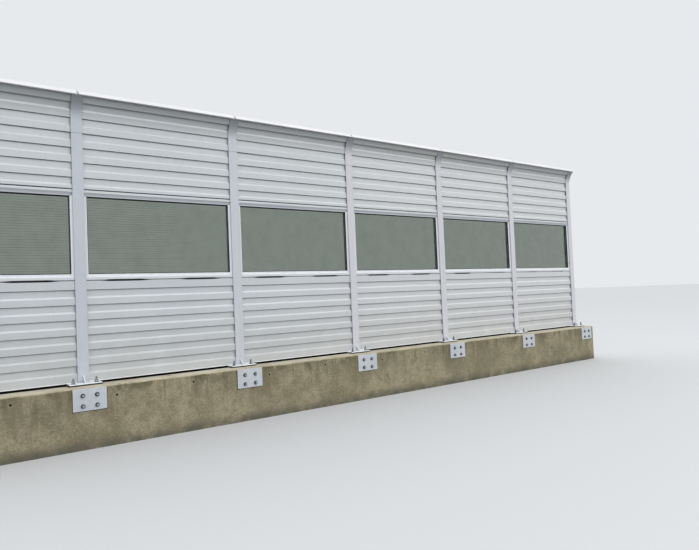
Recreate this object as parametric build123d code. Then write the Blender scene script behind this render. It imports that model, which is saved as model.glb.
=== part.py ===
from build123d import *
import math
import os

# Roadside noise barrier: steel posts on a concrete parapet, with ribbed metal
# panels, framed windows and a crest that curves over the road.
# Millimetres. X runs along the barrier, -Y faces the road, Z is up.
# The origin is on the ground, in the middle of the parapet's footprint.

# Layout along the barrier
BAY_COUNT = 6
BAY_LENGTH = 2000.0
PARAPET_END = 250.0

# Concrete parapet
PARAPET_HEIGHT = 695.0
PARAPET_WIDTH = 630.0
PARAPET_CHAMFER = 15.0

# Rolled H-section post
FLANGE_WIDTH = 125.0
POST_DEPTH = 125.0
FLANGE_THICKNESS = 9.0
WEB_THICKNESS = 6.5
ROOT_RADIUS = 8.0

# Crest of the post: a bent head welded on the straight shaft
CREST_STRAIGHT = 140.0
CREST_RADIUS = 400.0
CREST_ANGLE = 45.0
CREST_TIP_DEPTH = 70.0

# Foot of the post, on a bed of mortar set back under it
BEDDING_THICKNESS = 5.0
BEDDING_SETBACK = 12.0
BASE_PLATE_LENGTH = 350.0
BASE_PLATE_WIDTH = 350.0
BASE_PLATE_THICKNESS = 20.0
GUSSET_HEIGHT = 80.0
GUSSET_REACH = 90.0
GUSSET_THICKNESS = 10.0

# Clamp plates bolted through the parapet under each post
CLAMP_PLATE_LENGTH = 360.0
CLAMP_PLATE_HEIGHT = 245.0
CLAMP_PLATE_THICKNESS = 12.0
CLAMP_PLATE_CORNER = 6.0

# Infill of a bay, from the base plates up
LOWER_PANEL_HEIGHT = 1180.0
WINDOW_HEIGHT = 1060.0
UPPER_PANEL_HEIGHT = 670.0
PANEL_THICKNESS = 80.0
FLANGE_CLEARANCE = 4.0
WEB_CLEARANCE = 16.75
EDGE_FOLD = 4.0

# Rubber strip that closes the gap under the lower panels
SEAL_SETBACK = 12.0
SEAL_WIDTH = 50.0
SEAL_END_GAP = 3.0

# Open joint between the window frame and the panel above it
JOINT_HEIGHT = 10.0
JOINT_DEPTH = 20.0

# Ribs of the panels' road side
RIB_PITCH = 175.0
RIB_FACE = 75.0
RIB_SLOPE = 20.0
RIB_STEP = 5.0
RIB_DEPTH = 18.0
LOWER_FIRST_STEP = 195.0
UPPER_FIRST_STEP = 146.0

# Swages of the panels' back sheet
SWAGE_DEPTH = 5.0
SWAGE_WIDTH = 40.0
SWAGE_SLOPE = 8.0

# Window frame: four mitred rails of one moulding
FRAME_RAIL = 72.0
FRAME_BAND = 30.0
FRAME_STEP = 2.0
FRAME_BEVEL_DEPTH = 14.0
FRAME_BEAD = 12.0
FRAME_BEAD_RISE = 3.0
FRAME_BACK_LEG = 8.0
MITRE_GAP = 1.0

# Two places in a bay where the sill and the panel under it bow apart
SILL_GAP_PLACE = 480.0
SILL_GAP_LENGTH = 520.0
SILL_GAP_TAPER = 75.0
SILL_GAP_DROP = 11.0
SILL_GAP_RISE = 5.0
SILL_GAP_REACH = 45.0

# Glazing
REBATE_DEPTH = 14.0
REBATE_SETBACK = 17.0
GASKET_SIGHT = 5.0
PANE_SETBACK = 50.0
PANE_THICKNESS = 15.0
PANE_EDGE_CLEARANCE = 4.0

# Capping of the crest
CAP_THICKNESS = 3.0
CAP_LIP = 10.0
CAP_FIT = 0.3
CAP_JOINT = 20.0

# How near a point lies to a face that it is on
TOLERANCE = 0.01

# Levels
base_plate_foot = PARAPET_HEIGHT + BEDDING_THICKNESS
base_plate_top = base_plate_foot + BASE_PLATE_THICKNESS
window_bottom = base_plate_top + LOWER_PANEL_HEIGHT
window_top = window_bottom + WINDOW_HEIGHT
crest_bottom = window_top + UPPER_PANEL_HEIGHT
arc_start = crest_bottom + CREST_STRAIGHT

# Places across the barrier
post_front = -POST_DEPTH / 2
panel_setback = FLANGE_THICKNESS + FLANGE_CLEARANCE
crest_panel_thickness = CREST_TIP_DEPTH - 2 * panel_setback
crest_length = CREST_STRAIGHT + CREST_RADIUS * math.radians(CREST_ANGLE)
face_y = post_front + panel_setback
frame_back = face_y + PANEL_THICKNESS
pane_front = face_y + PANE_SETBACK
pane_back = pane_front + PANE_THICKNESS

# Places along the barrier
barrier_length = BAY_COUNT * BAY_LENGTH
post_places = [index * BAY_LENGTH - barrier_length / 2 for index in range(BAY_COUNT + 1)]
bay_places = [(left + right) / 2 for left, right in zip(post_places, post_places[1:])]
infill_length = BAY_LENGTH - WEB_THICKNESS - 2 * WEB_CLEARANCE


def straight_place(height, depth):
    """A point of an upright panel, by height above its foot and depth behind its face."""
    return Vector(0, post_front + panel_setback + depth, height)


def crest_place(run, depth):
    """A point of the crest, by run along the flange's face and depth behind that face."""
    if run <= CREST_STRAIGHT:
        return Vector(0, post_front + depth, crest_bottom + run)
    turn = (run - CREST_STRAIGHT) / CREST_RADIUS
    reach = CREST_RADIUS + depth
    return Vector(
        0,
        post_front - CREST_RADIUS + reach * math.cos(turn),
        arc_start + reach * math.sin(turn),
    )


def crest_panel_place(run, depth):
    """A point of the crest panel, by run and by depth behind its own face."""
    return crest_place(run, panel_setback + depth)


def rib_corners(length, first_step, flat_foot=False, flat_top=False):
    """Run and depth of each corner of the ribbed face, with its end ribs flat if asked."""
    steps = [first_step + RIB_PITCH * index for index in range(-1, int(length / RIB_PITCH) + 2)]
    steps = [step for step in steps if step < length]
    corners = []
    for step in steps:
        if not (flat_foot and step < first_step):
            corners += [(step - RIB_STEP, RIB_DEPTH), (step, 0.0)]
        corners += [
            (step + RIB_FACE, 0.0),
            (step + RIB_FACE + RIB_SLOPE, RIB_DEPTH),
        ]
    if flat_top:
        corners = corners[:-1]
    return folded(clipped(corners, length))


def folded(corners):
    """The same face with the sheet folded back over its foot and its top edge."""
    (foot, foot_depth), *between, (top, top_depth) = corners
    start = [(foot, foot_depth + EDGE_FOLD), (foot + EDGE_FOLD, foot_depth)]
    end = [(top - EDGE_FOLD, top_depth), (top, top_depth + EDGE_FOLD)]
    return start + between + end


def swage_corners(length, first_step, thickness):
    """Run and depth of each corner of the back sheet, one shallow swage to a rib."""
    corners = []
    for index in range(int(length / RIB_PITCH) + 2):
        middle = first_step + RIB_PITCH * index - (RIB_PITCH - RIB_FACE) / 2
        half = SWAGE_WIDTH / 2
        corners += [
            (middle - half - SWAGE_SLOPE, thickness),
            (middle - half, thickness - SWAGE_DEPTH),
            (middle + half, thickness - SWAGE_DEPTH),
            (middle + half + SWAGE_SLOPE, thickness),
        ]
    return clipped(corners, length)


def clipped(corners, length):
    """The corners between 0 and length, with the two ends worked out where they fall."""

    def depth_at(run):
        for (run_a, depth_a), (run_b, depth_b) in zip(corners, corners[1:]):
            if run_a <= run <= run_b:
                return depth_a + (depth_b - depth_a) * (run - run_a) / (run_b - run_a)
        return corners[0][1] if run < corners[0][0] else corners[-1][1]

    inside = [corner for corner in corners if EDGE_FOLD < corner[0] < length - EDGE_FOLD]
    return [(0.0, depth_at(0.0))] + inside + [(length, depth_at(length))]


def panel_outline(front, back, place, bend_from):
    """The closed outline of a panel, with arcs where a level stretch follows the bend."""
    ring = front + back[::-1]
    edges = []
    for (run_a, depth_a), (run_b, depth_b) in zip(ring, ring[1:] + ring[:1]):
        stretches = [(run_a, depth_a), (run_b, depth_b)]
        if depth_a == depth_b and min(run_a, run_b) < bend_from < max(run_a, run_b):
            stretches.insert(1, (bend_from, depth_a))
        for start, end in zip(stretches, stretches[1:]):
            bent = start[1] == end[1] and min(start[0], end[0]) >= bend_from
            if bent:
                middle = place((start[0] + end[0]) / 2, start[1])
                edges.append(ThreePointArc(place(*start), middle, place(*end)))
            else:
                edges.append(Line(place(*start), place(*end)))
    return make_face(edges)


def run_of(outline, length, middle):
    """A solid that carries an outline along the barrier, centred on a place."""
    solid = extrude(outline, amount=length, dir=(1, 0, 0))
    return Pos(middle - length / 2, 0, 0) * solid


def save(name, solids):
    """Write one node, as a single solid or a set that doesn't touch."""
    shape = solids[0] if len(solids) == 1 else Compound(children=solids)
    shape.label = name
    export_step(shape, f"parts/{name}.step")


def make_parapet():
    """The concrete wall, chamfered along its two top edges."""
    length = barrier_length + 2 * PARAPET_END
    wall = Box(
        length, PARAPET_WIDTH, PARAPET_HEIGHT, align=(Align.CENTER, Align.CENTER, Align.MIN)
    )
    rims = wall.edges().filter_by(Axis.X).group_by(Axis.Z)[-1]
    return chamfer(rims, PARAPET_CHAMFER)


def make_shaft(place):
    """The straight length of rolled H-section, with its root fillets."""
    inner_depth = POST_DEPTH - 2 * FLANGE_THICKNESS
    section = Rectangle(FLANGE_WIDTH, POST_DEPTH)
    for side in (-1, 1):
        hollow_width = (FLANGE_WIDTH - WEB_THICKNESS) / 2
        hollow = Rectangle(hollow_width, inner_depth)
        section -= Pos(side * (WEB_THICKNESS + hollow_width) / 2, 0) * hollow
    roots = [
        corner
        for corner in section.vertices()
        if abs(abs(corner.X) - WEB_THICKNESS / 2) < TOLERANCE
    ]
    section = fillet(roots, ROOT_RADIUS)
    shaft = extrude(section, amount=crest_bottom - base_plate_top)
    return Pos(place, 0, base_plate_top) * shaft


def head_point(centre, radius, turn):
    """A point of the head at a turn round one centre, in the plane across the barrier."""
    return Vector(0, centre[0] + radius * math.cos(turn), centre[1] + radius * math.sin(turn))


def head_strip(front_centre, front_radius, back_centre, back_radius, width, place):
    """A plate of the head that rises from the seam and goes on as an arc to the tip."""
    tip = math.radians(CREST_ANGLE)
    front_foot = Vector(0, front_centre[0] + front_radius, crest_bottom)
    back_foot = Vector(0, back_centre[0] + back_radius, crest_bottom)
    front = [head_point(front_centre, front_radius, turn) for turn in (0, tip / 2, tip)]
    back = [head_point(back_centre, back_radius, turn) for turn in (tip, tip / 2, 0)]
    outline = make_face([
        Line(front_foot, front[0]),
        ThreePointArc(*front),
        Line(front[-1], back[0]),
        ThreePointArc(*back),
        Line(back[-1], back_foot),
        Line(back_foot, front_foot),
    ])
    return run_of(outline, width, place)


def make_head(place):
    """The bent head, welded up from plates, whose depth tapers towards its tip."""
    tip = math.radians(CREST_ANGLE)
    flare = (POST_DEPTH - CREST_TIP_DEPTH * math.cos(tip)) / (1 - math.cos(tip))
    back_radius = CREST_RADIUS + flare
    back_rise = (CREST_RADIUS + CREST_TIP_DEPTH - back_radius) * math.sin(tip)
    front = (post_front - CREST_RADIUS, arc_start)
    back = (post_front + POST_DEPTH - back_radius, arc_start + back_rise)
    front_web = CREST_RADIUS + FLANGE_THICKNESS
    back_web = back_radius - FLANGE_THICKNESS
    front_flange = head_strip(front, CREST_RADIUS, front, front_web, FLANGE_WIDTH, place)
    web = head_strip(front, front_web, back, back_web, WEB_THICKNESS, place)
    back_flange = head_strip(back, back_web, back, back_radius, FLANGE_WIDTH, place)
    return front_flange + web + back_flange


def make_post(place):
    """A post: the rolled shaft with the bent head welded on its top."""
    return make_shaft(place) + make_head(place)


def make_bedding(place):
    """The bed of mortar under a foot plate."""
    return Pos(place, 0, PARAPET_HEIGHT) * Box(
        BASE_PLATE_LENGTH - 2 * BEDDING_SETBACK,
        BASE_PLATE_WIDTH - 2 * BEDDING_SETBACK,
        BEDDING_THICKNESS,
        align=(Align.CENTER, Align.CENTER, Align.MIN),
    )


def make_seal(middle):
    """The strip between the parapet and a lower panel, from foot plate to foot plate."""
    return Pos(middle, face_y + SEAL_SETBACK, PARAPET_HEIGHT) * Box(
        BAY_LENGTH - BASE_PLATE_LENGTH - 2 * SEAL_END_GAP,
        SEAL_WIDTH,
        base_plate_top - PARAPET_HEIGHT,
        align=(Align.CENTER, Align.MIN, Align.MIN),
    )


def make_base_plate(place):
    """A foot plate with a gusset on each side of the post's two flanges."""
    plate = Pos(place, 0, base_plate_foot) * Box(
        BASE_PLATE_LENGTH,
        BASE_PLATE_WIDTH,
        BASE_PLATE_THICKNESS,
        align=(Align.CENTER, Align.CENTER, Align.MIN),
    )
    flange = POST_DEPTH / 2
    foot = plate
    for side in (-1, 1):
        outline = make_face(Polyline(
            (0, side * flange, base_plate_top),
            (0, side * (flange + GUSSET_REACH), base_plate_top),
            (0, side * flange, base_plate_top + GUSSET_HEIGHT),
            close=True,
        ))
        foot += run_of(outline, GUSSET_THICKNESS, place)
    return foot


def make_clamp_plate(place, side):
    """One plate on the parapet's face, with its upper edge level with the top."""
    plate = Box(CLAMP_PLATE_LENGTH, CLAMP_PLATE_THICKNESS, CLAMP_PLATE_HEIGHT)
    plate = fillet(plate.edges().filter_by(Axis.Y), CLAMP_PLATE_CORNER)
    depth = PARAPET_WIDTH / 2 + CLAMP_PLATE_THICKNESS / 2
    level = PARAPET_HEIGHT - PARAPET_CHAMFER - CLAMP_PLATE_HEIGHT / 2
    return Pos(place, side * depth, level) * plate


def sill_gaps(middle):
    """The two long, flat gaps between the sill of a bay and its lower panel."""
    half = SILL_GAP_LENGTH / 2
    flat = half - SILL_GAP_TAPER
    foot = window_bottom - SILL_GAP_DROP
    top = window_bottom + SILL_GAP_RISE
    outline = make_face(Polyline(
        (-half, 0, window_bottom),
        (-flat, 0, foot),
        (flat, 0, foot),
        (half, 0, window_bottom),
        (flat, 0, top),
        (-flat, 0, top),
        close=True,
    ))
    gap = extrude(outline, amount=SILL_GAP_REACH, dir=(0, 1, 0))
    return [Pos(middle + side * SILL_GAP_PLACE, face_y, 0) * gap for side in (-1, 1)]


def make_lower_panel(middle):
    """A ribbed cassette, open where the sill above it bows away."""
    front = rib_corners(LOWER_PANEL_HEIGHT, LOWER_FIRST_STEP, flat_foot=True, flat_top=True)
    back = swage_corners(LOWER_PANEL_HEIGHT, LOWER_FIRST_STEP, PANEL_THICKNESS)
    outline = panel_outline(front, back, straight_place, LOWER_PANEL_HEIGHT)
    cassette = Pos(0, 0, base_plate_top) * run_of(outline, infill_length, middle)
    for gap in sill_gaps(middle):
        cassette -= gap
    return cassette


def make_upper_panel(middle):
    """A ribbed cassette between the window and the crest, with a joint under its face."""
    joint = [
        (0.0, JOINT_DEPTH),
        (JOINT_HEIGHT, JOINT_DEPTH),
        (JOINT_HEIGHT, EDGE_FOLD),
        (JOINT_HEIGHT + EDGE_FOLD, 0.0),
    ]
    front = joint + rib_corners(UPPER_PANEL_HEIGHT, UPPER_FIRST_STEP)[2:]
    back = swage_corners(UPPER_PANEL_HEIGHT, UPPER_FIRST_STEP, PANEL_THICKNESS)
    outline = panel_outline(front, back, straight_place, UPPER_PANEL_HEIGHT)
    return Pos(0, 0, window_top) * run_of(outline, infill_length, middle)


def make_crest_panel(middle):
    """A ribbed cassette that rises straight and then bends over with the posts."""
    front = rib_corners(crest_length, 0.0, flat_top=True)
    back = [(0.0, crest_panel_thickness), (crest_length, crest_panel_thickness)]
    outline = panel_outline(front, back, crest_panel_place, CREST_STRAIGHT)
    return run_of(outline, infill_length, middle)


def make_rail(length):
    """The upper rail of a frame, mitred at both ends, hung below its own outer edge."""
    outline = make_face(Polyline(
        (0, face_y + EDGE_FOLD, 0),
        (0, face_y, -EDGE_FOLD),
        (0, face_y, -FRAME_BAND),
        (0, face_y + FRAME_STEP, -FRAME_BAND),
        (0, face_y + FRAME_BEVEL_DEPTH, -(FRAME_RAIL - FRAME_BEAD)),
        (0, face_y + FRAME_BEVEL_DEPTH - FRAME_BEAD_RISE, -(FRAME_RAIL - FRAME_BEAD)),
        (0, face_y + FRAME_BEVEL_DEPTH - FRAME_BEAD_RISE, -FRAME_RAIL),
        (0, face_y + REBATE_SETBACK, -FRAME_RAIL),
        (0, face_y + REBATE_SETBACK, -(FRAME_RAIL - REBATE_DEPTH)),
        (0, frame_back - FRAME_BACK_LEG, -(FRAME_RAIL - REBATE_DEPTH)),
        (0, frame_back - FRAME_BACK_LEG, -FRAME_RAIL),
        (0, frame_back, -FRAME_RAIL),
        (0, frame_back, 0),
        close=True,
    ))
    bar = run_of(outline, length, 0)
    outer = length / 2 - MITRE_GAP / 2
    inner = outer - FRAME_RAIL
    mitres = make_face(Polyline(
        (-outer, face_y, 0),
        (outer, face_y, 0),
        (inner, face_y, -FRAME_RAIL),
        (-inner, face_y, -FRAME_RAIL),
        close=True,
    ))
    return bar & extrude(mitres, amount=PANEL_THICKNESS, dir=(0, 1, 0))


def make_window_frame(middle):
    """Four mitred rails round a window, with a hairline at each mitre."""
    level = window_bottom + WINDOW_HEIGHT / 2
    level_rail = make_rail(infill_length)
    upright_rail = make_rail(WINDOW_HEIGHT)
    sill = Pos(middle, 0, window_bottom) * Rot(0, 180, 0) * level_rail
    for gap in sill_gaps(middle):
        sill -= gap
    return [
        Pos(middle, 0, window_top) * level_rail,
        Pos(middle + infill_length / 2, 0, level) * Rot(0, 90, 0) * upright_rail,
        sill,
        Pos(middle - infill_length / 2, 0, level) * Rot(0, 270, 0) * upright_rail,
    ]


def sheet(inset, near, far, middle):
    """A slab the size of a window less an inset all round, between two depths."""
    width = infill_length - 2 * inset
    height = WINDOW_HEIGHT - 2 * inset
    level = window_bottom + WINDOW_HEIGHT / 2
    return Pos(middle, (near + far) / 2, level) * Box(width, far - near, height)


def make_gasket(middle):
    """Two rubber rings in the rebate, one on each side of the pane."""
    rings = []
    for near, far in ((face_y + REBATE_SETBACK, pane_front), (pane_back, frame_back - FRAME_BACK_LEG)):
        ring = sheet(FRAME_RAIL - REBATE_DEPTH, near, far, middle)
        ring -= sheet(FRAME_RAIL + GASKET_SIGHT, near - FRAME_STEP, far + FRAME_STEP, middle)
        rings.append(ring)
    return rings


def make_pane(middle):
    """The clear acrylic sheet, held in the rebate between the two gaskets."""
    inset = FRAME_RAIL - REBATE_DEPTH + PANE_EDGE_CLEARANCE
    return sheet(inset, pane_front, pane_back, middle)


def make_cap(index, middle):
    """A folded channel over the crest of one bay, reaching halfway over each post."""
    reach_left = BAY_LENGTH / 2 - CAP_JOINT / 2
    reach_right = reach_left
    if index == 0:
        reach_left = BAY_LENGTH / 2 + FLANGE_WIDTH / 2
    if index == BAY_COUNT - 1:
        reach_right = BAY_LENGTH / 2 + FLANGE_WIDTH / 2
    lip = crest_length - CAP_LIP
    top = crest_length + CAP_THICKNESS
    inner_front = -CAP_FIT
    inner_back = CREST_TIP_DEPTH + CAP_FIT
    outer_front = inner_front - CAP_THICKNESS
    outer_back = inner_back + CAP_THICKNESS
    outline = make_face([
        bend(lip, crest_length, inner_front),
        Line(crest_place(crest_length, inner_front), crest_place(crest_length, inner_back)),
        bend(crest_length, lip, inner_back),
        Line(crest_place(lip, inner_back), crest_place(lip, outer_back)),
        bend(lip, top, outer_back),
        Line(crest_place(top, outer_back), crest_place(top, outer_front)),
        bend(top, lip, outer_front),
        Line(crest_place(lip, outer_front), crest_place(lip, inner_front)),
    ])
    length = reach_left + reach_right
    return run_of(outline, length, middle + (reach_right - reach_left) / 2)


def bend(run_a, run_b, depth):
    """An arc of the crest's bend between two runs, at one depth."""
    middle = crest_place((run_a + run_b) / 2, depth)
    return ThreePointArc(crest_place(run_a, depth), middle, crest_place(run_b, depth))


os.makedirs("parts", exist_ok=True)

save("parapet", [make_parapet()])
save("bedding_mortar", [make_bedding(place) for place in post_places])
save("base_plates", [make_base_plate(place) for place in post_places])
save("clamp_plates", [make_clamp_plate(place, side) for place in post_places for side in (-1, 1)])
for number, place in enumerate(post_places, start=1):
    save(f"post_{number}", [make_post(place)])
for number, middle in enumerate(bay_places, start=1):
    save(f"lower_panel_{number}", [make_lower_panel(middle)])
    save(f"window_frame_{number}", make_window_frame(middle))
    save(f"window_pane_{number}", [make_pane(middle)])
    save(f"upper_panel_{number}", [make_upper_panel(middle)])
    save(f"crest_panel_{number}", [make_crest_panel(middle)])
save("foot_seals", [make_seal(middle) for middle in bay_places])
save("pane_gaskets", [ring for middle in bay_places for ring in make_gasket(middle)])
save("crest_cap", [make_cap(index, middle) for index, middle in enumerate(bay_places)])
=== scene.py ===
import math
import random

import bpy
from mathutils import Matrix, Vector


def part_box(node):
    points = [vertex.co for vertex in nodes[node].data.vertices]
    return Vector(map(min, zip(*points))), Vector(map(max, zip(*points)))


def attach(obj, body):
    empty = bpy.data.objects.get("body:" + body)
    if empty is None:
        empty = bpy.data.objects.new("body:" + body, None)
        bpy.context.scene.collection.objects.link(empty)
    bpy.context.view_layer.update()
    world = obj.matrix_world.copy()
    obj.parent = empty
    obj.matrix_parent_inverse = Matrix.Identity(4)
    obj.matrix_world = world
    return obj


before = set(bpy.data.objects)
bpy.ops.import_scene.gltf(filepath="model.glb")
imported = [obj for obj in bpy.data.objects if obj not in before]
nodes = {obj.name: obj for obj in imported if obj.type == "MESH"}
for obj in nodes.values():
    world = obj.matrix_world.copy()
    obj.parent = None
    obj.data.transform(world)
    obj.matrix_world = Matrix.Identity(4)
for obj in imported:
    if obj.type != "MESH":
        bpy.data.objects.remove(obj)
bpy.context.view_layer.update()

# The parapet
# A cast concrete wall under the whole barrier, khaki grey, with blotches, rain
# stains from its top arris, pits from the formwork and the holes of the form ties.
PARAPET_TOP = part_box("parapet")[1].z
BAY_LENGTH = 2.0
TIE_HOLE_PLACES = ((-4.781, 0.602), (-3.704, 0.567))
TIE_HOLE_RADIUS = 0.014
FORM_JOINT = -4.594
FORM_JOINT_HALF = 0.006
RAIN_REACH = 0.55
ALGAE_REACH = 0.2
SPLASH_REACH = 0.16
ARRIS_DEPTH = 0.012
ARRIS_WAVER = 0.03
CRACK_WARP = 0.12
CLAMP_HALF = 0.18
OUTLINE_ASIDE = 0.012
OUTLINE_BELOW = 0.014
OUTLINE_ABOVE = 0.004
FOOT_PLATE_HALF = 0.175
FOOT_SHADE = 0.015
PANEL_SHADE_HALF = 0.075
SHADE_FADE = 0.01
CAST_DARK = (124, 117, 91)
CAST_PALE = (162, 153, 126)
CAST_CLOUD = (118, 111, 88)
CAST_SPECKLE = (100, 94, 74)
CAST_FLECK = (178, 170, 144)
CAST_GRAIN = (92, 88, 74)
RAIN_STAIN = (98, 92, 68)
FINE_RAIN_STAIN = (88, 84, 66)
RAIN_WASHED = (168, 161, 138)
ALGAE = (84, 79, 55)
MOSS = (84, 78, 60)
SPLASH_DIRT = (88, 84, 72)
CRACK = (74, 68, 52)
PIT = (62, 58, 48)
SPALL = (176, 168, 146)
TIE_HOLE = (12, 11, 9)
FORM_LINE = (104, 98, 78)
CLAMP_PLATE_SHADOW = (62, 57, 45)
BLEACHED_LIT_ARRIS = (172, 163, 138)
BLEACHED_LIT_TOP = (190, 183, 166)
SHELTER_SHADE = (26, 24, 20)
clamp_low, clamp_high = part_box("clamp_plates")


def paint(colour):
    """Display values from 0 to 255 as a shader's linear colour; an output is passed on as it is."""
    if isinstance(colour, bpy.types.NodeSocket):
        return colour
    tones = [value / 255 for value in colour]
    linear = [t / 12.92 if t <= 0.04045 else ((t + 0.055) / 1.055) ** 2.4 for t in tones]
    return (*linear, 1.0)


def add(tree, kind, values=None, **settings):
    """Adds a shader node; each value is a constant or the output that feeds the socket."""
    made = tree.nodes.new(kind)
    for name, value in settings.items():
        setattr(made, name, value)
    for socket, value in (values or {}).items():
        if isinstance(value, bpy.types.NodeSocket):
            tree.links.new(value, made.inputs[socket])
        else:
            made.inputs[socket].default_value = value
    return made


def maths(tree, operation, first, second=0.0, clamp=False):
    """One step of arithmetic between two values."""
    made = add(tree, "ShaderNodeMath", {0: first, 1: second}, operation=operation, use_clamp=clamp)
    return made.outputs[0]


def both(tree, first, second):
    """High only where two masks are high; one of them may be a plain amount."""
    return maths(tree, "MULTIPLY", first, second)


def lay(tree, below, above, mask, amount=None):
    """Lays one colour over another where a mask is high, in full or by an amount."""
    if amount is not None:
        mask = both(tree, mask, amount)
    made = add(tree, "ShaderNodeMix", {0: mask, 6: paint(below), 7: paint(above)}, data_type="RGBA")
    return made.outputs[2]


def ramp(tree, value, low, high, to=(0.0, 1.0)):
    """Maps a value smoothly from one range to another."""
    made = add(
        tree,
        "ShaderNodeMapRange",
        {"Value": value, "From Min": low, "From Max": high, "To Min": to[0], "To Max": to[1]},
        interpolation_type="SMOOTHSTEP",
    )
    return made.outputs["Result"]


def place_of(tree):
    """The place on the piece, whole and as its three parts."""
    where = add(tree, "ShaderNodeTexCoord").outputs["Object"]
    parts = add(tree, "ShaderNodeSeparateXYZ", {0: where}).outputs
    return where, parts[0], parts[1], parts[2]


def from_nearest(tree, along, place=0.0):
    """The distance along the barrier to a place that comes back once in each bay."""
    return maths(tree, "PINGPONG", maths(tree, "SUBTRACT", along, place), BAY_LENGTH / 2)


def noise(tree, where, scale, detail, roughness=0.5):
    """Cloudy noise over the piece."""
    values = {"Vector": where, "Scale": scale, "Detail": detail, "Roughness": roughness}
    return add(tree, "ShaderNodeTexNoise", values).outputs["Fac"]


def cells(tree, where, scale, **settings):
    """The distance to the points, or to the borders, of a pattern of cells."""
    made = add(tree, "ShaderNodeTexVoronoi", {"Vector": where, "Scale": scale}, **settings)
    return made.outputs["Distance"]


def effect(name, inputs):
    """An empty shader group with number inputs and a mask as its output."""
    group = bpy.data.node_groups.new(name, "ShaderNodeTree")
    for socket, value in inputs.items():
        made = group.interface.new_socket(socket, in_out="INPUT", socket_type="NodeSocketFloat")
        made.default_value = value
    group.interface.new_socket("Mask", in_out="OUTPUT", socket_type="NodeSocketFloat")
    entry = group.nodes.new("NodeGroupInput").outputs
    leave = group.nodes.new("NodeGroupOutput").inputs["Mask"]
    return group, entry, leave


# Blotches: soft patches of uneven colour, stronger or weaker by the two limits.
blotches, entry, leave = effect("blotches", {"Scale": 2.0, "Low": 0.4, "High": 0.7})
spots = noise(blotches, place_of(blotches)[0], entry["Scale"], detail=6.0, roughness=0.62)
blotches.links.new(ramp(blotches, spots, entry["Low"], entry["High"]), leave)

# Rain streaks: narrow upright runs, spread along the barrier.
STREAK_STRETCH = 0.7
rain_streaks, entry, leave = effect("rain_streaks", {"Width": 14.0, "Low": 0.5, "High": 0.75})
_, along, across, up = place_of(rain_streaks)
narrow = {
    0: both(rain_streaks, along, entry["Width"]),
    1: both(rain_streaks, across, entry["Width"]),
    2: both(rain_streaks, up, STREAK_STRETCH),
}
stretched = add(rain_streaks, "ShaderNodeCombineXYZ", narrow).outputs[0]
runs = noise(rain_streaks, stretched, scale=1.0, detail=5.0, roughness=0.6)
rain_streaks.links.new(ramp(rain_streaks, runs, entry["Low"], entry["High"]), leave)


def use(tree, group, **values):
    """Places a shared effect with this finish's own values."""
    made = tree.nodes.new("ShaderNodeGroup")
    made.node_tree = group
    for socket, value in values.items():
        made.inputs[socket].default_value = value
    return made.outputs[0]


def finish_called(name):
    """A new finish: its node tree, with the surface shader already in place."""
    material = bpy.data.materials.new(name)
    material.use_nodes = True
    tree = material.node_tree
    tree.nodes.clear()
    surface = add(tree, "ShaderNodeBsdfPrincipled")
    add(tree, "ShaderNodeOutputMaterial", {0: surface.outputs[0]})
    return material, tree, surface


def feed(tree, surface, **values):
    """Joins values to the surface shader's sockets, named with underscores for spaces."""
    for name, value in values.items():
        socket = surface.inputs[name.replace("_", " ")]
        if isinstance(value, bpy.types.NodeSocket):
            tree.links.new(value, socket)
        else:
            socket.default_value = value


def relief(tree, height, distance, strength, under=None):
    """Raises or sinks the surface by a height, over an earlier relief if there is one."""
    values = {"Height": height, "Distance": distance, "Strength": strength}
    if under is not None:
        values["Normal"] = under
    return add(tree, "ShaderNodeBump", values).outputs[0]


def dress(piece, material):
    """Gives a piece its one finish."""
    piece.data.materials.clear()
    piece.data.materials.append(material)


concrete, tree, surface = finish_called("stained_concrete")
where, along, across, up = place_of(tree)

# The cast body: clouds, speckles, rain stains, algae and sand grain
body = lay(tree, CAST_DARK, CAST_PALE, use(tree, blotches, Scale=2.0, Low=0.34, High=0.66))
body = lay(tree, body, CAST_CLOUD, use(tree, blotches, Scale=9.0, Low=0.42, High=0.8))
body = lay(tree, body, CAST_SPECKLE, use(tree, blotches, Scale=52.0, Low=0.42, High=0.62), amount=0.45)
body = lay(tree, body, CAST_FLECK, use(tree, blotches, Scale=38.0, Low=0.5, High=0.66), amount=0.4)
below_top = ramp(tree, up, PARAPET_TOP - RAIN_REACH, PARAPET_TOP - 0.02)
drips = both(tree, use(tree, rain_streaks, Width=5.0, Low=0.5, High=0.62), below_top)
body = lay(tree, body, RAIN_STAIN, drips, amount=0.7)
fine_drips = both(tree, use(tree, rain_streaks, Width=22.0, Low=0.52, High=0.7), below_top)
body = lay(tree, body, FINE_RAIN_STAIN, fine_drips, amount=0.55)
under_rim = ramp(tree, up, PARAPET_TOP - ALGAE_REACH, PARAPET_TOP - 0.03)
algae = both(tree, under_rim, use(tree, blotches, Scale=4.2, Low=0.47, High=0.6))
body = lay(tree, body, ALGAE, algae, amount=0.75)
body = lay(tree, body, RAIN_WASHED, use(tree, rain_streaks, Width=2.3, Low=0.56, High=0.74), amount=0.4)
foot = both(tree, ramp(tree, up, SPLASH_REACH, 0.0), use(tree, blotches, Scale=5.0, Low=0.2, High=0.6))
body = lay(tree, body, SPLASH_DIRT, foot)
grain = noise(tree, where, scale=140.0, detail=4.0, roughness=0.7)
body = lay(tree, body, CAST_GRAIN, grain, amount=0.28)

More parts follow.
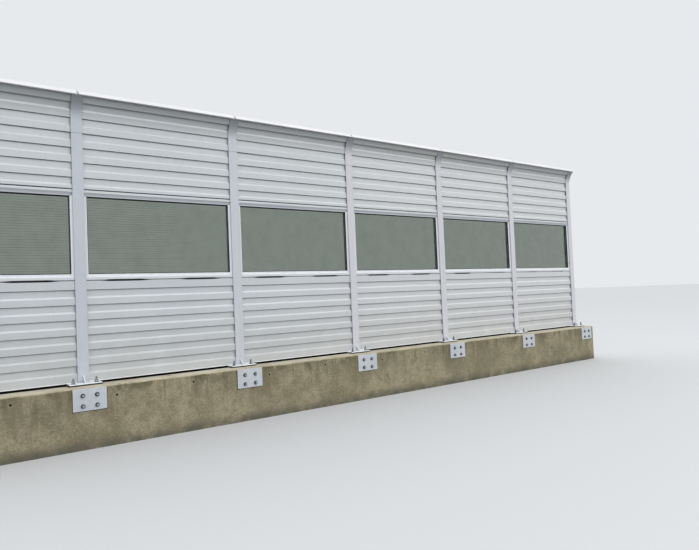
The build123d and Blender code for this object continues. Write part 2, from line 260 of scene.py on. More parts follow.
# Its flaws: pits, hair cracks, tie holes and the line of a form joint
pit = ramp(tree, cells(tree, where, scale=34.0), 0.13, 0.05)
pit = both(tree, pit, use(tree, blotches, Scale=9.0, Low=0.48, High=0.56))
warp = add(tree, "ShaderNodeTexNoise", {"Vector": where, "Scale": 7.0, "Detail": 3.0}).outputs["Color"]
warp = add(tree, "ShaderNodeVectorMath", {0: warp, "Scale": CRACK_WARP}, operation="SCALE").outputs[0]
warp = add(tree, "ShaderNodeVectorMath", {0: where, 1: warp}, operation="ADD").outputs[0]
crack = ramp(tree, cells(tree, warp, scale=4.5, feature="DISTANCE_TO_EDGE"), 0.022, 0.007)
crack = both(tree, crack, use(tree, blotches, Scale=2.6, Low=0.52, High=0.62))
body = lay(tree, body, CRACK, crack, amount=0.3)
body = lay(tree, body, PIT, pit, amount=0.8)
from_hole = BAY_LENGTH
for hole, level in TIE_HOLE_PLACES:
    aside = from_nearest(tree, along, hole)
    spread = add(tree, "ShaderNodeCombineXYZ", {0: aside, 1: 0.0, 2: maths(tree, "SUBTRACT", up, level)})
    away = add(tree, "ShaderNodeVectorMath", {0: spread.outputs[0]}, operation="LENGTH").outputs["Value"]
    from_hole = maths(tree, "MINIMUM", away, from_hole)
tie_hole = ramp(tree, from_hole, TIE_HOLE_RADIUS, TIE_HOLE_RADIUS * 0.85)
spall = ramp(tree, from_hole, TIE_HOLE_RADIUS * 3.2, TIE_HOLE_RADIUS * 1.2)
body = lay(tree, body, SPALL, spall, amount=0.15)
# The tie holes are painted near black, as the shade inside them.
body = lay(tree, body, TIE_HOLE, tie_hole)
form_line = ramp(tree, from_nearest(tree, along, FORM_JOINT), FORM_JOINT_HALF, FORM_JOINT_HALF / 6)
body = lay(tree, body, FORM_LINE, form_line, amount=0.55)

# Painted shadow round the clamp plates, a bleached top and arris that are also painted lighter where the
# sky lights them, and painted shade with some damp dirt where plates and panels shelter the top
from_post = from_nearest(tree, along)
# A painted shadow round the clamp plates, beside and below them.
plate_shadow = ramp(tree, from_post, CLAMP_HALF + OUTLINE_ASIDE, CLAMP_HALF + OUTLINE_ASIDE / 4)
plate_shadow = both(tree, plate_shadow, ramp(tree, up, clamp_low.z - OUTLINE_BELOW, clamp_low.z - 0.004))
plate_shadow = both(tree, plate_shadow, ramp(tree, up, clamp_high.z + OUTLINE_ABOVE, clamp_high.z))
body = lay(tree, body, CLAMP_PLATE_SHADOW, plate_shadow, amount=0.8)
# The top and its arris are bleached, and are also painted lighter as lit by the sky.
waver = both(tree, noise(tree, where, scale=5.0, detail=3.0), ARRIS_WAVER)
bleached_lit_arris = ramp(tree, maths(tree, "ADD", up, waver), PARAPET_TOP - ARRIS_DEPTH, PARAPET_TOP)
uneven = ramp(tree, use(tree, blotches, Scale=2.2, Low=0.3, High=0.7), 0.0, 1.0, to=(0.5, 0.95))
body = lay(tree, body, BLEACHED_LIT_ARRIS, bleached_lit_arris, uneven)
on_top = ramp(tree, up, PARAPET_TOP - 0.003, PARAPET_TOP - 0.001)
body = lay(tree, body, BLEACHED_LIT_TOP, on_top, uneven)
moss = both(tree, bleached_lit_arris, use(tree, blotches, Scale=10.0, Low=0.6, High=0.66))
body = lay(tree, body, MOSS, moss, amount=0.7)
# Painted shade, with some damp dirt, on the top where the foot plates and panels shelter it.
from_middle = maths(tree, "ABSOLUTE", across)
shade_edge = FOOT_PLATE_HALF + FOOT_SHADE
under_plate = both(
    tree,
    ramp(tree, from_middle, shade_edge + 0.002, shade_edge + 0.002 - SHADE_FADE),
    ramp(tree, from_post, shade_edge, shade_edge - SHADE_FADE),
)
under_panel = ramp(tree, from_middle, PANEL_SHADE_HALF, PANEL_SHADE_HALF - 1.5 * SHADE_FADE)
shelter_shade = both(tree, maths(tree, "MAXIMUM", under_panel, under_plate), on_top)
body = lay(tree, body, SHELTER_SHADE, shelter_shade, amount=0.9)

shape = relief(tree, use(tree, blotches, Scale=6.0, Low=0.3, High=0.7), distance=0.004, strength=0.7)
shape = relief(tree, grain, distance=0.0014, strength=0.8, under=shape)
hollow = both(tree, maths(tree, "MAXIMUM", pit, tie_hole), -1.0)
shape = relief(tree, hollow, distance=0.006, strength=0.9, under=shape)
rough = ramp(tree, grain, 0.2, 0.8, to=(0.82, 0.97))
feed(tree, surface, Base_Color=body, Roughness=rough, Normal=shape)
dress(nodes["parapet"], concrete)

# The posts
# Rolled H-sections with a bent head of plates welded on, sprayed in a satin blue-grey
# white, with orange peel, rain marks and thin paint on the arrises. The far posts are
# painted lighter and more neutral as a sheen, and what faces down takes painted shade.
FLANGE_HALF = 0.0625
PLATE_TOP = 0.72
FAR_POST_SPAN = (-4.2, 0.5)
SPLASH_TOP = 1.0
POST_SHADE = (176, 182, 188)
POST_LIGHT = (184, 190, 196)
POST_FAR_SHEEN = (195, 194, 199)
POST_RUNOFF = (163, 168, 174)
POST_SPLASH = (150, 147, 138)
POST_UNDERSIDE_SHADE = (132, 138, 143)
POST_RUB = (150, 153, 158)
post_numbers = range(1, 8)
post_places = [sum(corner.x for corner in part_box(f"post_{n}")) / 2 for n in post_numbers]
seam_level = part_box("upper_panel_1")[1].z


def normal_of(tree):
    """The direction that the surface faces, as its three parts."""
    normal = add(tree, "ShaderNodeNewGeometry").outputs["Normal"]
    return add(tree, "ShaderNodeSeparateXYZ", {0: normal}).outputs


# Edge wear and highlight: a scuffed mask near corners. Where it darkens, the paint is thin or scuffed; on
# the foot plates and panels it lays a painted highlight.
edge_wear_and_highlight, entry, leave = effect("edge_wear_and_highlight", {"Radius": 0.003, "Amount": 1.0})
rounded = add(edge_wear_and_highlight, "ShaderNodeBevel", {"Radius": entry["Radius"]}, samples=4).outputs[0]
flat = add(edge_wear_and_highlight, "ShaderNodeNewGeometry").outputs["Normal"]
turned = add(edge_wear_and_highlight, "ShaderNodeVectorMath", {0: rounded, 1: flat}, operation="DOT_PRODUCT")
near_edge = ramp(edge_wear_and_highlight, turned.outputs["Value"], 0.995, 0.9)
scuffs = noise(edge_wear_and_highlight, place_of(edge_wear_and_highlight)[0], scale=60.0, detail=4.0)
rubbed = both(edge_wear_and_highlight, near_edge, ramp(edge_wear_and_highlight, scuffs, 0.45, 0.62))
edge_wear_and_highlight.links.new(maths(edge_wear_and_highlight, "MULTIPLY", rubbed, entry["Amount"], clamp=True), leave)

post_paint, tree, surface = finish_called("post_paint")
where, along, _, up = place_of(tree)
coat = lay(tree, POST_SHADE, POST_LIGHT, use(tree, blotches, Scale=1.6, Low=0.3, High=0.75))
# The far posts are painted lighter and more neutral, as the sheen they show at a grazing angle.
coat = lay(tree, coat, POST_FAR_SHEEN, ramp(tree, along, *FAR_POST_SPAN), amount=0.9)
coat = lay(tree, coat, POST_RUNOFF, use(tree, rain_streaks, Width=30.0, Low=0.5, High=0.8), amount=0.35)
splash = use(tree, blotches, Scale=14.0, Low=0.42, High=0.7)
splash = both(tree, ramp(tree, up, SPLASH_TOP, PLATE_TOP), splash)
coat = lay(tree, coat, POST_SPLASH, splash, amount=0.4)
# Painted shade on what faces down.
coat = lay(tree, coat, POST_UNDERSIDE_SHADE, ramp(tree, normal_of(tree)[2], -0.04, -0.55), amount=0.85)
coat = lay(tree, coat, POST_RUB, use(tree, edge_wear_and_highlight, Radius=0.003, Amount=0.7))
shape = relief(tree, noise(tree, where, scale=5.0, detail=2.0), distance=0.003, strength=0.35)
peel = noise(tree, where, scale=420.0, detail=2.0)
shape = relief(tree, peel, distance=0.0003, strength=0.5, under=shape)
gloss = ramp(tree, use(tree, blotches, Scale=4.0, Low=0.3, High=0.8), 0.0, 1.0, to=(0.36, 0.5))
feed(tree, surface, Base_Color=coat, Roughness=gloss, Normal=shape, IOR=1.5)
for number in post_numbers:
    dress(nodes[f"post_{number}"], post_paint)

# The weld beads of the posts
# Runs of weld laid by hand: across both flanges where the head joins the shaft, along
# the flanges at the foot, and round the gussets. Painted over with the post.
BEAD_SIDES = 8
BEAD_LENGTH = 0.125
BEAD_RADIUS = 0.0035
BEAD_RIPPLES = 25
RIPPLE_SWELL = 1.22
BEAD_OUT = 0.001
GUSSET_SIDE = 0.005
GUSSET_TOP = 0.8
GUSSET_MIDDLE = 0.045
UPRIGHT_SHARE = 0.6
OUTWARD_SHARE = 0.7
QUARTER_TURN = math.radians(90)
SMOOTH_ROUND = 60


def wake_only(*pieces):
    """Leaves only these pieces selected, the last one active."""
    bpy.ops.object.select_all(action="DESELECT")
    for piece in pieces:
        piece.select_set(True)
    bpy.context.view_layer.objects.active = pieces[-1]


def start_rod(sides, radius, length):
    """The first end of a rod along the barrier, a disc in edit mode, ready to be drawn out."""
    bpy.ops.object.select_all(action="DESELECT")
    bpy.ops.mesh.primitive_circle_add(
        vertices=sides, radius=radius, fill_type="NGON", rotation=(0, QUARTER_TURN, 0),
        location=(-length / 2, 0, 0),
    )
    disc = bpy.context.object
    bpy.ops.object.transform_apply(location=True, rotation=True, scale=True)
    bpy.ops.object.mode_set(mode="EDIT")
    bpy.ops.mesh.select_all(action="SELECT")
    return disc


def draw_out(step, scale=(1, 1, 1)):
    """Extrudes the selected faces by a step and then scales them."""
    bpy.ops.mesh.extrude_region_move(TRANSFORM_OT_translate={"value": step})
    bpy.ops.transform.resize(value=scale)


def settle(piece, smooth):
    """Ends the work on a piece: outward normals, soft shading below an angle, no transform."""
    bpy.ops.object.mode_set(mode="EDIT")
    bpy.ops.mesh.select_all(action="SELECT")
    bpy.ops.mesh.remove_doubles(threshold=0.00001)
    bpy.ops.mesh.normals_make_consistent(inside=False)
    bpy.ops.object.mode_set(mode="OBJECT")
    wake_only(piece)
    bpy.ops.object.shade_smooth_by_angle(angle=math.radians(smooth))
    bpy.ops.object.transform_apply(location=True, rotation=True, scale=True)


def at(x, y, z, turn=None):
    """A placing: a turn about the origin, and then a move."""
    return Matrix.Translation((x, y, z)) @ (turn or Matrix.Identity(4))


def repeat(pattern, name, placings, material):
    """Copies a pattern to each placing, as one piece that rides with the barrier."""
    copies = []
    for placing in placings:
        copy = pattern.copy()
        copy.data = pattern.data.copy()
        copy.data.transform(placing)
        bpy.context.collection.objects.link(copy)
        copies.append(copy)
    wake_only(*copies)
    bpy.ops.object.join()
    piece = bpy.context.object
    piece.name = piece.data.name = name
    dress(piece, material)
    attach(piece, "root")
    bpy.data.objects.remove(pattern)


bead = start_rod(BEAD_SIDES, BEAD_RADIUS, BEAD_LENGTH)
for ripple in range(BEAD_RIPPLES):
    swell = RIPPLE_SWELL if ripple % 2 else 1 / RIPPLE_SWELL
    draw_out((BEAD_LENGTH / BEAD_RIPPLES, 0, 0), (1, swell, swell))
settle(bead, SMOOTH_ROUND)

upright = Matrix.Rotation(QUARTER_TURN, 4, "Y") @ Matrix.Diagonal((UPRIGHT_SHARE, 1, 1, 1))
outward = Matrix.Rotation(QUARTER_TURN, 4, "Z") @ Matrix.Diagonal((OUTWARD_SHARE, 1, 1, 1))
placings = []
for place in post_places:
    for side in (-1, 1):
        toe = side * (FLANGE_HALF + BEAD_OUT)
        placings.append(at(place, side * FLANGE_HALF, seam_level))
        placings.append(at(place, toe, PLATE_TOP))
        for flank in (-GUSSET_SIDE, GUSSET_SIDE):
            placings.append(at(place + flank, toe, (PLATE_TOP + GUSSET_TOP) / 2, upright))
            placings.append(at(place + flank, side * (FLANGE_HALF + GUSSET_MIDDLE), PLATE_TOP, outward))
repeat(bead, "weld_beads", placings, post_paint)

# The foot plates and their anchor studs
# Thick square plates on four cast-in studs, each with a washer and a nut, painted with
# the posts. Their upper faces and edges carry painted light. They stand on beds of mortar,
# set back under their edges and painted near black as the shade under the plates.
STUD_PLACE = 0.125
STUD_RADIUS = 0.0105
STUD_SIDES = 12
STUD_TOP = 0.03
STUD_TIP = 0.72
WASHER_RADIUS = 0.024
WASHER_SIDES = 20
WASHER_THICKNESS = 0.004
NUT_RADIUS = 0.0205
NUT_HEIGHT = 0.026
NUT_HOLLOW = 0.28
STUD_THREAD_STEP = 0.0025
STUD_THREAD_ROOT = 0.88
SMOOTH_FASTENING = 40
DIRT_AND_SHADE_REACH = 0.007
PLATE_SHADE = (178, 184, 191)
PLATE_LIGHT = (190, 196, 202)
PLATE_DUST = (176, 170, 156)
PLATE_LIT_FACE = (214, 218, 222)
PLATE_EDGE_HIGHLIGHT = (228, 231, 235)
PLATE_ARRIS_HIGHLIGHT = (222, 225, 228)
PLATE_FOOT_SHADE = (34, 31, 27)
MORTAR_SHADE_DARK = (18, 17, 15)
MORTAR_SHADE_GREY = (44, 41, 35)
ZINC_DARK = (62, 66, 72)
ZINC_GREY = (104, 109, 116)
ZINC_HIGHLIGHT = (188, 192, 197)
ZINC_RUST = (92, 74, 60)
ZINC_DIRT_AND_SHADE = (38, 38, 40)

plate_paint, tree, surface = finish_called("plate_paint")
where, _, across, up = place_of(tree)
coat = lay(tree, PLATE_SHADE, PLATE_LIGHT, use(tree, blotches, Scale=3.0, Low=0.3, High=0.75))
coat = lay(tree, coat, PLATE_DUST, use(tree, blotches, Scale=22.0, Low=0.45, High=0.7), amount=0.35)
# Painted light on the upper faces and the front edge, and a painted highlight on the arrises.
coat = lay(tree, coat, PLATE_LIT_FACE, ramp(tree, normal_of(tree)[2], 0.3, 0.5))
over_parapet = ramp(tree, up, PARAPET_TOP - 0.005, PARAPET_TOP + 0.005)
edge = ramp(tree, maths(tree, "ABSOLUTE", across), FOOT_PLATE_HALF - 0.001, FOOT_PLATE_HALF - 0.0005)
coat = lay(tree, coat, PLATE_EDGE_HIGHLIGHT, both(tree, edge, over_parapet))
coat = lay(tree, coat, PLATE_ARRIS_HIGHLIGHT, use(tree, edge_wear_and_highlight, Radius=0.004, Amount=0.8))
lower_rim = ramp(tree, up, PLATE_TOP - 0.009, PLATE_TOP - 0.011)
coat = lay(tree, coat, PLATE_FOOT_SHADE, both(tree, lower_rim, over_parapet))
speckle = noise(tree, where, scale=300.0, detail=3.0)
shape = relief(tree, speckle, distance=0.0004, strength=0.6)
feed(tree, surface, Base_Color=coat, Roughness=ramp(tree, speckle, 0.3, 0.7, to=(0.38, 0.52)), Normal=shape)
dress(nodes["base_plates"], plate_paint)

# The mortar is painted near black as the shade under the plates.
mortar, tree, surface = finish_called("shaded_mortar")
body = lay(tree, MORTAR_SHADE_DARK, MORTAR_SHADE_GREY, use(tree, blotches, Scale=26.0, Low=0.35, High=0.65))
sand = noise(tree, place_of(tree)[0], scale=400.0, detail=4.0)
shape = relief(tree, sand, distance=0.001, strength=0.8)
feed(tree, surface, Base_Color=body, Roughness=ramp(tree, sand, 0.3, 0.7, to=(0.7, 0.95)), Normal=shape)
dress(nodes["bedding_mortar"], mortar)


def zinc_finish(name, bright, dirt_and_shade):
    """Dull zinc, with a painted highlight in one place, and painted shade with dirt where the fastening
    meets its plate.
    """
    zinc, tree, surface = finish_called(name)
    coat = lay(tree, ZINC_DARK, ZINC_GREY, use(tree, blotches, Scale=45.0, Low=0.35, High=0.65))
    coat = lay(tree, coat, ZINC_HIGHLIGHT, bright(tree), amount=0.85)
    rust = both(tree, use(tree, blotches, Scale=70.0, Low=0.52, High=0.68), 0.4)
    coat = lay(tree, coat, ZINC_RUST, rust)
    coat = lay(tree, coat, ZINC_DIRT_AND_SHADE, dirt_and_shade(tree), amount=0.85)
    spangle = cells(tree, place_of(tree)[0], scale=260.0)
    shape = relief(tree, spangle, distance=0.0003, strength=0.5)
    metal = ramp(tree, rust, 0.0, 0.4, to=(0.4, 0.1))
    rough = ramp(tree, spangle, 0.0, 0.6, to=(0.4, 0.6))
    feed(tree, surface, Base_Color=coat, Metallic=metal, Roughness=rough, Normal=shape)
    return zinc


def stud_highlight(tree):
    """The sides of the nuts that face the front or the rear, which take a painted highlight."""
    return ramp(tree, maths(tree, "ABSOLUTE", normal_of(tree)[1]), 0.75, 0.95)


def stud_dirt_and_shade(tree):
    """The washers, painted dark with dirt and shade where they lie on the foot plates."""
    shade_top = PLATE_TOP + DIRT_AND_SHADE_REACH
    return ramp(tree, place_of(tree)[3], shade_top, shade_top - 0.003)


stud_zinc = zinc_finish("stud_zinc", stud_highlight, stud_dirt_and_shade)


def new_cylinder(sides, radius, depth, middle):
    """An upright cylinder over the origin, the only thing selected."""
    bpy.ops.object.select_all(action="DESELECT")
    bpy.ops.mesh.primitive_cylinder_add(vertices=sides, radius=radius, depth=depth, location=(0, 0, middle))
    return bpy.context.object


def pick_faces(piece, wanted):
    """Leaves only the faces that pass a test selected, in edit mode."""
    bpy.ops.object.mode_set(mode="OBJECT")
    for parts in (piece.data.vertices, piece.data.edges, piece.data.polygons):
        parts.foreach_set("select", [False] * len(parts))
    for face in piece.data.polygons:
        face.select = wanted(face)
    bpy.ops.object.mode_set(mode="EDIT")
    bpy.ops.mesh.select_mode(type="FACE")


def make_fastening(stud_top, nut_height):
    """A washer, a six-sided nut and the end of a threaded stud, standing on the origin."""
    washer = new_cylinder(WASHER_SIDES, WASHER_RADIUS, WASHER_THICKNESS, WASHER_THICKNESS / 2)
    pick_faces(washer, lambda face: face.normal.z > 0.9)
    bpy.ops.mesh.inset(thickness=WASHER_THICKNESS / 3)
    bpy.ops.transform.translate(value=(0, 0, WASHER_THICKNESS / 4))
    bpy.ops.object.mode_set(mode="OBJECT")
    nut = new_cylinder(6, NUT_RADIUS, nut_height, WASHER_THICKNESS + nut_height / 2)
    pick_faces(nut, lambda face: abs(face.normal.z) > 0.9)
    bpy.ops.mesh.bevel(offset=nut_height / 9, segments=2)
    pick_faces(nut, lambda face: face.normal.z > 0.99)
    bpy.ops.mesh.inset(thickness=NUT_RADIUS * NUT_HOLLOW)
    draw_out((0, 0, -nut_height / 12))
    bpy.ops.object.mode_set(mode="OBJECT")
    thread_foot = WASHER_THICKNESS + nut_height * 0.8
    stud = new_cylinder(STUD_SIDES, STUD_RADIUS, STUD_THREAD_STEP, thread_foot)
    pick_faces(stud, lambda face: face.normal.z > 0.9)
    turns = int((WASHER_THICKNESS + nut_height + stud_top - thread_foot) / STUD_THREAD_STEP)
    for turn in range(turns):
        root = STUD_THREAD_ROOT if turn % 2 == 0 else 1 / STUD_THREAD_ROOT
        draw_out((0, 0, STUD_THREAD_STEP / 2), (root, root, 1))
        draw_out((0, 0, STUD_THREAD_STEP / 2))
    draw_out((0, 0, STUD_THREAD_STEP / 2), (STUD_TIP, STUD_TIP, 1))
    bpy.ops.object.mode_set(mode="OBJECT")
    wake_only(washer, nut, stud)
    bpy.ops.object.join()
    fastening = bpy.context.object
    settle(fastening, SMOOTH_FASTENING)
    return fastening


chance = random.Random(11)


def spun():
    """A turn of its own for each nut."""
    return Matrix.Rotation(chance.uniform(0, math.tau), 4, "Z")


anchor = make_fastening(STUD_TOP, NUT_HEIGHT)
placings = [
    at(place + side * STUD_PLACE, depth * STUD_PLACE, PLATE_TOP, spun())
    for place in post_places
    for side in (-1, 1)
    for depth in (-1, 1)
]
repeat(anchor, "anchor_studs", placings, stud_zinc)

# The clamp plates and their bolts
# Plates on both faces of the parapet, held together by four long bolts that run through
# it. They are sprayed like the foot plates. Nuts and washers are dull zinc; the washers
# are painted dark with dirt and shade, and the ends of the bolts take a painted highlight.
BOLT_ASIDE = 0.076
BOLT_LEVELS = (0.605, 0.488)
BOLT_END = 0.004
BOLT_NUT = 0.016
nut_face = clamp_high.y + WASHER_THICKNESS + BOLT_NUT

dress(nodes["clamp_plates"], plate_paint)


def bolt_highlight(tree):
    """The ends of the bolts, where they stand past the nuts, front and back, which take a painted
    highlight.
    """
    return ramp(tree, maths(tree, "ABSOLUTE", place_of(tree)[2]), nut_face + 0.0005, nut_face + 0.0015)


def bolt_dirt_and_shade(tree):
    """The washers, painted dark with dirt and shade where they lie on the clamp plates, front and back."""
    shade_face = clamp_high.y + DIRT_AND_SHADE_REACH
    return ramp(tree, maths(tree, "ABSOLUTE", place_of(tree)[2]), shade_face + 0.001, shade_face - 0.002)


bolt_zinc = zinc_finish("bolt_zinc", bolt_highlight, bolt_dirt_and_shade)
bolt = make_fastening(BOLT_END, BOLT_NUT)
to_front = Matrix.Rotation(QUARTER_TURN, 4, "X")
to_rear = Matrix.Rotation(-QUARTER_TURN, 4, "X")
placings = [
    at(place + side * BOLT_ASIDE, face, level, tilt @ spun())
    for place in post_places
    for side in (-1, 1)
    for level in BOLT_LEVELS
    for face, tilt in ((clamp_low.y, to_front), (clamp_high.y, to_rear))
]
repeat(bolt, "clamp_bolts", placings, bolt_zinc)

# The ribbed panels
# Cassettes of coated sheet, rolled with ribs on their front, slid down between the
# posts' flanges. The sheet is satin grey-white, a little wavy, with dust on the ledges
# of the ribs and faint marks where rain runs off them.
SILL_GAP_LEVELS = (1.8885, 1.9)
SILL_GAP_FROM_POST = 0.52
SILL_GAP_MIDDLE = 1.8965
SILL_GAP_HALF = 0.0125
SILL_GAP_FLAT = 0.16
SILL_GAP_REACHES = (0.36, 0.29)
SILL_GAP_SHARE = 0.92
SILL_GAP_CHANGE = (-3.0, 0.5)
SILL_GAP_CLOSED = 3.0
SILL_FACE = -0.03
SILL_JOINT_LEVELS = (1.892, 1.902)
HEAD_JOINT_LEVELS = (2.9595, 2.9705)
RECESS_FRONT = -0.0455
RECESS_BACK = 0.005
CREST_FOOT = 0.1
CREST_TIP = 0.4
WINDOW_LEVELS = (2.0, 2.9)
LOWER_DARK_TOP = 1.7
LIP_HEIGHT = 0.012
POST_SHADOW = 0.009
PANEL_BATCH = (-3.0, 2.0)
PANEL_SHADE = (182, 187, 191)
PANEL_LIGHT = (187, 192, 195)
PANEL_NEUTRAL = (195, 195, 195)
PANEL_RUNOFF = (164, 167, 167)
PANEL_UPPER = (196, 199, 200)
PANEL_HIGHLIGHT = (212, 215, 217)
PANEL_DUST = (176, 173, 163)
PANEL_LOWER_DARK = (168, 168, 166)
PANEL_UNDERSIDE_SHADE = (146, 149, 150)
PANEL_UNDER_STEP = (60, 62, 62)
PANEL_LIP = (236, 238, 240)
PANEL_SHADE_BY_POST = (112, 113, 112)
SILL_JOINT = (44, 44, 42)
GAP_SHADOW_LINE = (16, 16, 15)
GAP_SHADE = (18, 18, 17)
GAP_PALE_AS_LIT = (205, 207, 209)


def sill_gap_line(tree, along, across, up):
    """The painted shadow line where sill and panel part, closed from the middle of the fifth bay on."""
    from_gap = maths(tree, "SUBTRACT", from_nearest(tree, along), SILL_GAP_FROM_POST)
    reach = ramp(tree, along, *SILL_GAP_CHANGE, to=SILL_GAP_REACHES)
    widest = ramp(tree, along, *SILL_GAP_CHANGE, to=(SILL_GAP_HALF, SILL_GAP_HALF * SILL_GAP_SHARE))
    half = both(tree, ramp(tree, maths(tree, "ABSOLUTE", from_gap), reach, SILL_GAP_FLAT), widest)
    off_middle = maths(tree, "ABSOLUTE", maths(tree, "SUBTRACT", up, SILL_GAP_MIDDLE))
    line = ramp(tree, maths(tree, "SUBTRACT", off_middle, half), 0.0002, -0.0008)
    line = both(tree, line, ramp(tree, along, SILL_GAP_CLOSED, SILL_GAP_CLOSED - 0.01))
    return both(tree, line, ramp(tree, across, SILL_FACE, SILL_FACE - 0.001))


def recess_mask(tree, across):
    """High on what lies in the joints, behind the panels' faces and before their middle."""
    behind = ramp(tree, across, RECESS_FRONT - 0.001, RECESS_FRONT)
    return both(tree, behind, ramp(tree, across, RECESS_BACK, RECESS_BACK - 0.005))


def closed_look_mask(tree, along):
    """High from the middle of the fifth bay on, where the recess between sill and panel is painted pale, as
    lit, so they seem to meet without a gap.
    """
    return ramp(tree, along, SILL_GAP_CLOSED - 0.01, SILL_GAP_CLOSED)


panel_coat, tree, surface = finish_called("panel_coat")
where, along, across, up = place_of(tree)
faces_up = normal_of(tree)[2]

# The sheet's own tone, with marks of rain and light dust on the ledges, and a painted highlight where the
# ledges face the sky
coat = lay(tree, PANEL_SHADE, PANEL_LIGHT, use(tree, blotches, Scale=0.8, Low=0.35, High=0.7))
coat = lay(tree, coat, PANEL_NEUTRAL, ramp(tree, along, *PANEL_BATCH), amount=0.6)
coat = lay(tree, coat, PANEL_RUNOFF, use(tree, rain_streaks, Width=26.0, Low=0.48, High=0.78), amount=0.16)
ledge = ramp(tree, faces_up, 0.2, 0.7)
upper = ramp(tree, up, *WINDOW_LEVELS)
coat = lay(tree, coat, PANEL_UPPER, upper, amount=0.3)
coat = lay(tree, coat, PANEL_HIGHLIGHT, ledge, ramp(tree, upper, 0.0, 1.0, to=(0.34, 0.2)))
settled = both(tree, ledge, use(tree, blotches, Scale=11.0, Low=0.35, High=0.7))
coat = lay(tree, coat, PANEL_DUST, settled, amount=0.12)
# Blotchy and darker towards the foot.
lower_dark = both(tree, ramp(tree, up, LOWER_DARK_TOP, PLATE_TOP), use(tree, blotches, Scale=2.5, Low=0.1, High=0.6))
coat = lay(tree, coat, PANEL_LOWER_DARK, lower_dark, amount=0.62)

# Painted shade on what faces down, also under the overhanging crest, deeper painted shade under the steps,
# and a painted shade line beside the posts' flanges
underside_shade = ramp(tree, faces_up, -0.05, -0.6)
crest_foot = seam_level + CREST_FOOT
crest_tip = seam_level + CREST_TIP
underside_shade_depth = ramp(tree, up, crest_foot, crest_tip, to=(0.55, 0.38))
coat = lay(tree, coat, PANEL_UNDERSIDE_SHADE, underside_shade, underside_shade_depth)
overhang = both(tree, ramp(tree, faces_up, -0.05, -0.3), ramp(tree, up, seam_level, crest_foot))
short_of_tip = ramp(tree, up, crest_tip - 0.02, crest_tip - 0.15, to=(0.0, 0.22))
coat = lay(tree, coat, PANEL_UNDERSIDE_SHADE, overhang, short_of_tip)
under_step = ramp(tree, faces_up, -0.75, -0.93)
step_shade = ramp(tree, up, seam_level - CREST_FOOT, crest_foot + CREST_FOOT, to=(0.82, 0.66))
coat = lay(tree, coat, PANEL_UNDER_STEP, under_step, step_shade)
# A painted highlight along the edges of the ribs.
coat = lay(tree, coat, PANEL_HIGHLIGHT, use(tree, edge_wear_and_highlight, Radius=0.004, Amount=0.8))
lip_edge = PLATE_TOP + LIP_HEIGHT
lip = both(tree, ramp(tree, up, lip_edge, lip_edge - 0.003), ramp(tree, across, 0.0, -0.04))
coat = lay(tree, coat, PANEL_LIP, lip, amount=0.9)
# A painted shade line beside the posts' flanges.
shade_by_post = ramp(tree, from_nearest(tree, along), FLANGE_HALF + POST_SHADOW, FLANGE_HALF - 0.002)
coat = lay(tree, coat, PANEL_SHADE_BY_POST, shade_by_post, amount=0.35)

# The joints above and below the window: painted shade along the sill joint, a painted shadow line in the
# gap and painted shade inside the joints; under the last sills the recess is painted pale, as lit, so the
# joint reads closed
recessed = recess_mask(tree, across)
joint_foot, joint_top = SILL_JOINT_LEVELS
sill_joint = both(
    tree,
    ramp(tree, up, joint_foot, joint_foot + 0.0015),
    ramp(tree, up, joint_top, joint_top - 0.001),
)
sill_joint = both(tree, sill_joint, ramp(tree, across, SILL_FACE, SILL_FACE - 0.001))
coat = lay(tree, coat, SILL_JOINT, sill_joint, amount=0.85)
coat = lay(tree, coat, GAP_SHADOW_LINE, sill_gap_line(tree, along, across, up))
# Painted shade inside the joints above and below the window.
for low, high in (SILL_GAP_LEVELS, HEAD_JOINT_LEVELS):
    between = both(tree, ramp(tree, up, low, low + 0.0005), ramp(tree, up, high + 0.0005, high))
    coat = lay(tree, coat, GAP_SHADE, both(tree, recessed, between))
# Under the last sills the recess is painted pale, as lit, so the joint reads closed.
gap_foot = SILL_GAP_LEVELS[0]
below_window = ramp(tree, up, WINDOW_LEVELS[0], WINDOW_LEVELS[0] - 0.05)
closed_look = both(tree, closed_look_mask(tree, along), below_window)
closed_look = both(tree, closed_look, both(tree, recessed, ramp(tree, up, gap_foot - 0.0025, gap_foot - 0.0005)))
coat = lay(tree, coat, GAP_PALE_AS_LIT, closed_look, amount=0.9)

shape = relief(tree, noise(tree, where, scale=2.6, detail=1.5), distance=0.012, strength=0.4)
peel = noise(tree, where, scale=500.0, detail=2.0)
shape = relief(tree, peel, distance=0.0002, strength=0.5, under=shape)
gloss = ramp(tree, use(tree, blotches, Scale=3.0, Low=0.3, High=0.75), 0.0, 1.0, to=(0.4, 0.54))
feed(tree, surface, Base_Color=coat, Roughness=gloss, Normal=shape)
bay_numbers = range(1, 7)
for number in bay_numbers:
    for course in ("lower_panel", "upper_panel", "crest_panel"):
        dress(nodes[f"{course}_{number}"], panel_coat)

# The seals under the panels
# Black rubber strips that fill the gap between the parapet and the lower panels, from one
# foot plate to the next, dull and a little gritty from splashes.
SEAL_BLACK = (6, 6, 6)
SEAL_GRIT = (34, 32, 28)

seal_rubber, tree, surface = finish_called("seal_rubber")
coat = lay(tree, SEAL_BLACK, SEAL_GRIT, use(tree, blotches, Scale=40.0, Low=0.55, High=0.8), amount=0.35)
pores = noise(tree, place_of(tree)[0], scale=700.0, detail=2.0)
shape = relief(tree, pores, distance=0.0004, strength=0.6)
rough = ramp(tree, pores, 0.3, 0.7, to=(0.8, 0.95))
feed(tree, surface, Base_Color=coat, Roughness=rough, Normal=shape, Specular_IOR_Level=0.2)
dress(nodes["foot_seals"], seal_rubber)

